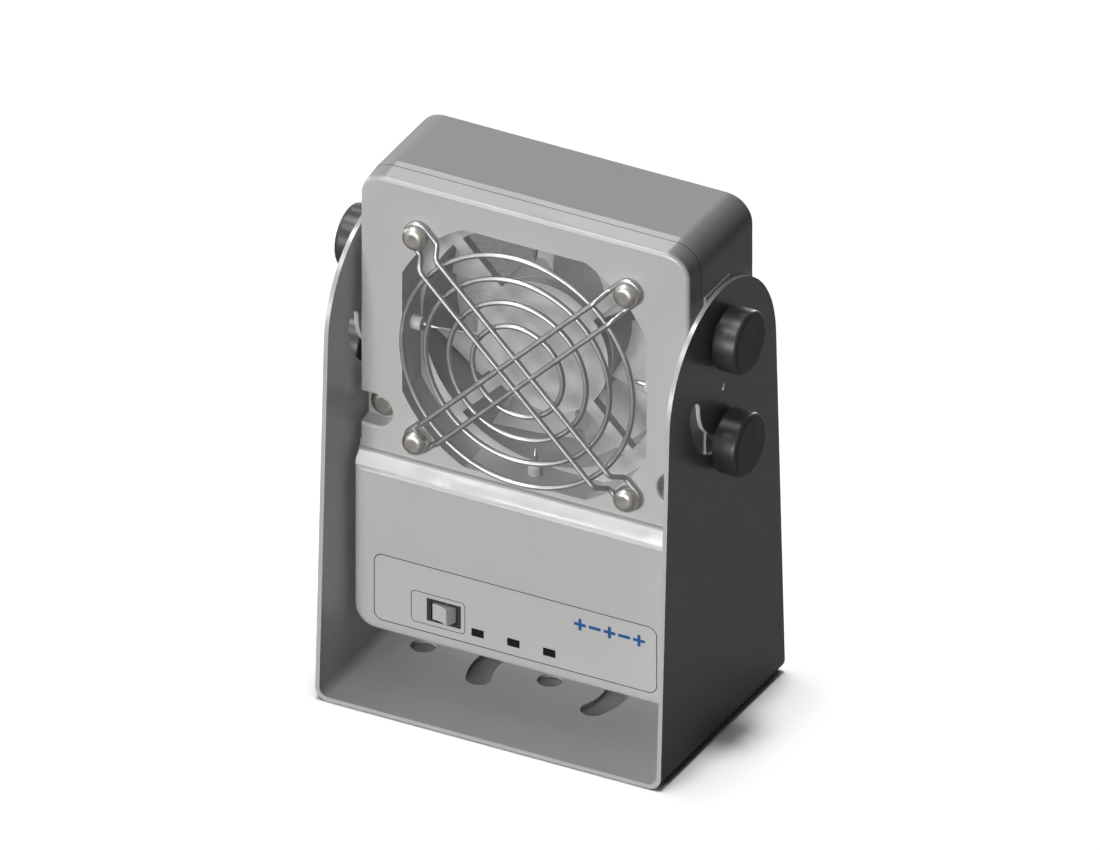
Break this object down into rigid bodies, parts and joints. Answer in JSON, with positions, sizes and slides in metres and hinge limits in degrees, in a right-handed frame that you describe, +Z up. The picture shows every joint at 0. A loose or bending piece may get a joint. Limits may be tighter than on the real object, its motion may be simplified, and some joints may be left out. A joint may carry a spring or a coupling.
{
  "type": "ionizing blower",
  "caption": "Small box-shaped fan ioniser with a wire finger guard over a round outlet and a switch panel below, held by knobs in a U-shaped tilting bracket.",
  "frame": {"origin": "middle of the bracket's underside, on the surface it stands on", "axes": "+X to the right as seen from the front, +Y to the rear, +Z up; the tilt axis is parallel to X above the origin"},
  "size_m": [0.0956, 0.056, 0.1212],
  "materials": {
    "housing_grey": "fine satin powder coat",
    "fan_grey": "satin moulded plastic",
    "guard_wire": "bright plated wire",
    "screw_steel": "plated steel",
    "bronze": "sintered bronze",
    "core_steel": "laminated steel",
    "copper_wire": "enamelled copper wire",
    "board_green": "solder mask",
    "magnet": "bonded ferrite",
    "holder_white": "insulating plastic",
    "led_green": "clear epoxy",
    "window_black": "smoked plastic",
    "black_plastic": "moulded plastic",
    "rocker_grey": "satin plastic",
    "brass_insert": "turned brass",
    "knob_black": "smooth moulded plastic"
  },
  "bodies": {
    "bracket": {"bracket": "housing_grey"},
    "blower": {"front_cover": "housing_grey", "rear_housing": "housing_grey", "intake_grille": "fan_grey", "guard_arms": "guard_wire", "guard_rings": "guard_wire", "guard_screws": "screw_steel", "cover_screws": "screw_steel", "fan_frame": "fan_grey", "fan_bearings": "bronze", "fan_stator": "core_steel", "stator_coils": "copper_wire", "fan_board": "board_green", "emitter_holders": "holder_white", "emitter_needles": "screw_steel", "high_voltage_module": "black_plastic", "control_board": "board_green", "board_screws": "screw_steel", "board_components": "black_plastic", "status_leds": "led_green", "status_windows": "window_black", "operating_panel": "housing_grey", "switch_bezel": "housing_grey", "switch_body": "black_plastic", "switch_terminals": "screw_steel", "power_inlet": "black_plastic", "threaded_inserts": "brass_insert", "knob_washers": "black_plastic"},
    "fan_rotor": {"fan_rotor": "fan_grey", "rotor_yoke": "core_steel", "rotor_magnet": "magnet", "rotor_shaft": "screw_steel"},
    "rocker": {"switch_rocker": "rocker_grey"},
    "knob_left_top": {"knob_left_top": "knob_black", "stud_left_top": "screw_steel"},
    "knob_left_bottom": {"knob_left_bottom": "knob_black", "stud_left_bottom": "screw_steel"},
    "knob_right_top": {"knob_right_top": "knob_black", "stud_right_top": "screw_steel"},
    "knob_right_bottom": {"knob_right_bottom": "knob_black", "stud_right_bottom": "screw_steel"}
  },
  "joints": [
    {"name": "tilt", "type": "hinge", "parent": "bracket", "child": "blower", "pos_m": [0, 0, 0.0842], "axis": [-1, 0, 0], "range_deg": [0, 90]},
    {"name": "fan_spin", "type": "hinge", "parent": "blower", "child": "fan_rotor", "pos_m": [0, 0, 0.0842], "axis": [0, 1, 0], "continuous": true},
    {"name": "switch_rock", "type": "hinge", "parent": "blower", "child": "rocker", "pos_m": [-0.017, -0.0143, 0.02075], "axis": [0, 0, 1], "range_deg": [0, 32]},
    {"name": "turn_left_top", "type": "hinge", "parent": "blower", "child": "knob_left_top", "pos_m": [0, 0, 0.0967], "axis": [-1, 0, 0], "continuous": true},
    {"name": "turn_left_bottom", "type": "hinge", "parent": "blower", "child": "knob_left_bottom", "pos_m": [0, 0, 0.0717], "axis": [-1, 0, 0], "continuous": true},
    {"name": "turn_right_top", "type": "hinge", "parent": "blower", "child": "knob_right_top", "pos_m": [0, 0, 0.0967], "axis": [1, 0, 0], "continuous": true},
    {"name": "turn_right_bottom", "type": "hinge", "parent": "blower", "child": "knob_right_bottom", "pos_m": [0, 0, 0.0717], "axis": [1, 0, 0], "continuous": true}
  ]
}
